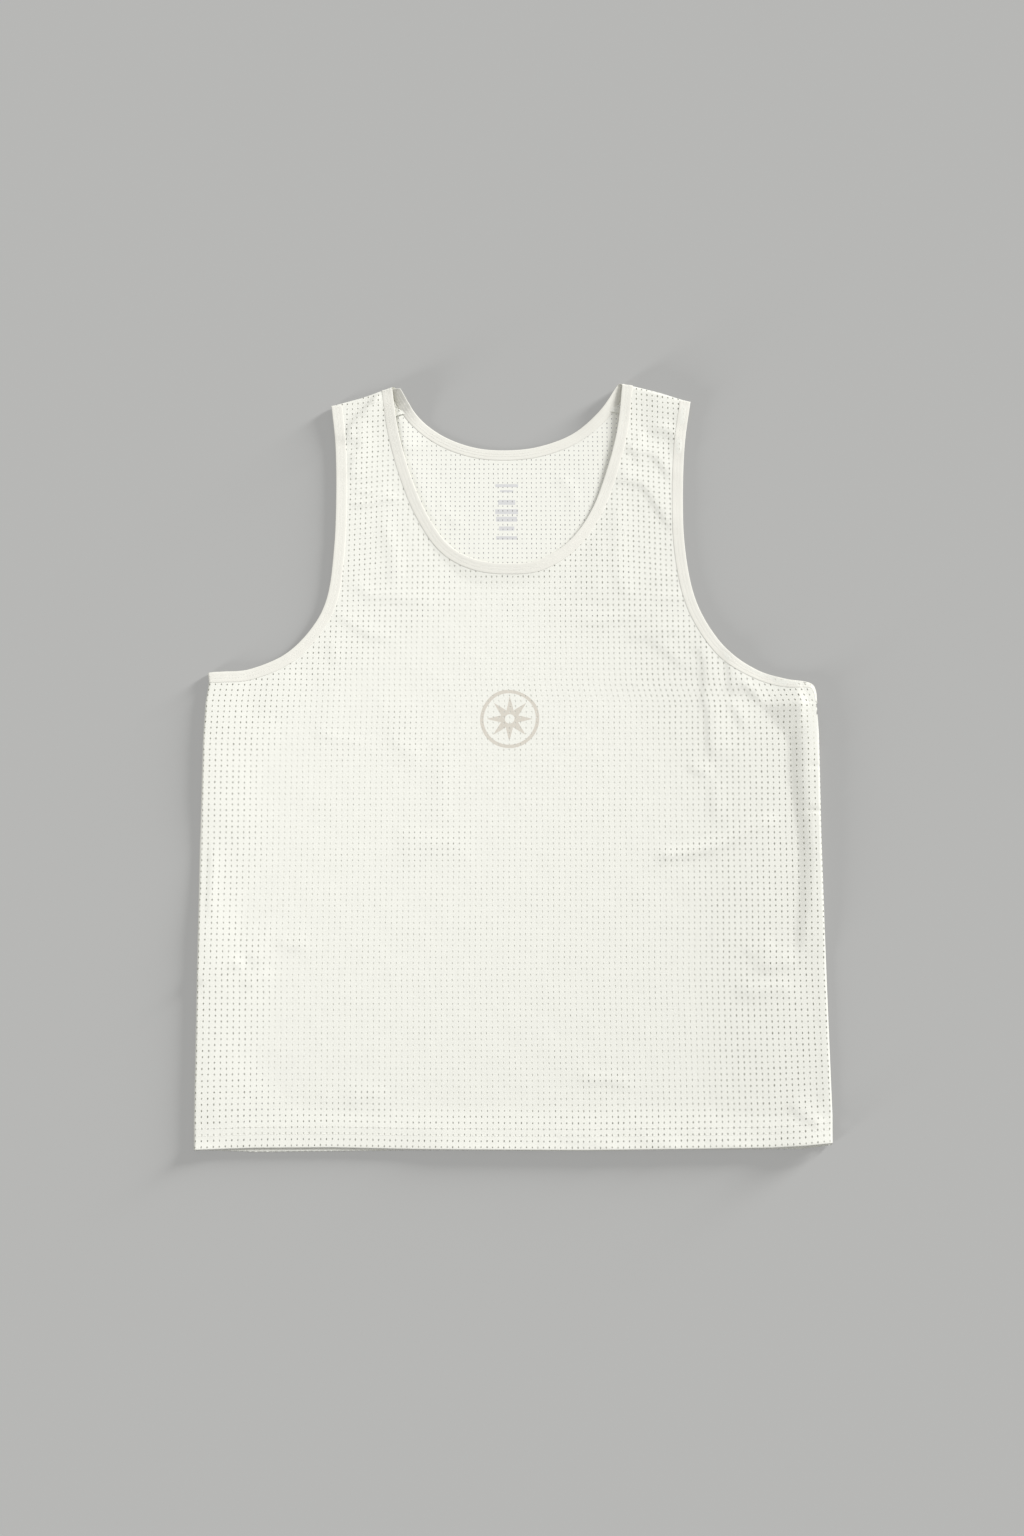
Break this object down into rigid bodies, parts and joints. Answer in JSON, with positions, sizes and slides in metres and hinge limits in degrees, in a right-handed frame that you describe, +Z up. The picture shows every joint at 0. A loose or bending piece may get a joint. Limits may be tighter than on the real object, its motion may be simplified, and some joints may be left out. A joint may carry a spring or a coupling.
{
  "type": "running singlet",
  "caption": "Sleeveless running singlet of perforated knit laid flat with its front up, scoop neck and bound armholes.",
  "frame": {"origin": "middle of the singlet's outline, on the surface that it lies on", "axes": "+Z up, out of the front panel; +Y from the hem to the neck; +X to the right of someone who looks down on the front with the neck at the top"},
  "size_m": [0.5468, 0.6959, 0.009],
  "materials": {
    "perforated_knit": "matt off-white polyester knit with rows of small round holes",
    "binding_knit": "matt off-white knit, folded and coverstitched"
  },
  "bodies": {
    "root": {"front_panel": "perforated_knit", "back_panel": "perforated_knit", "neck_binding": "binding_knit", "armhole_binding_left": "binding_knit", "armhole_binding_right": "binding_knit"}
  },
  "joints": []
}
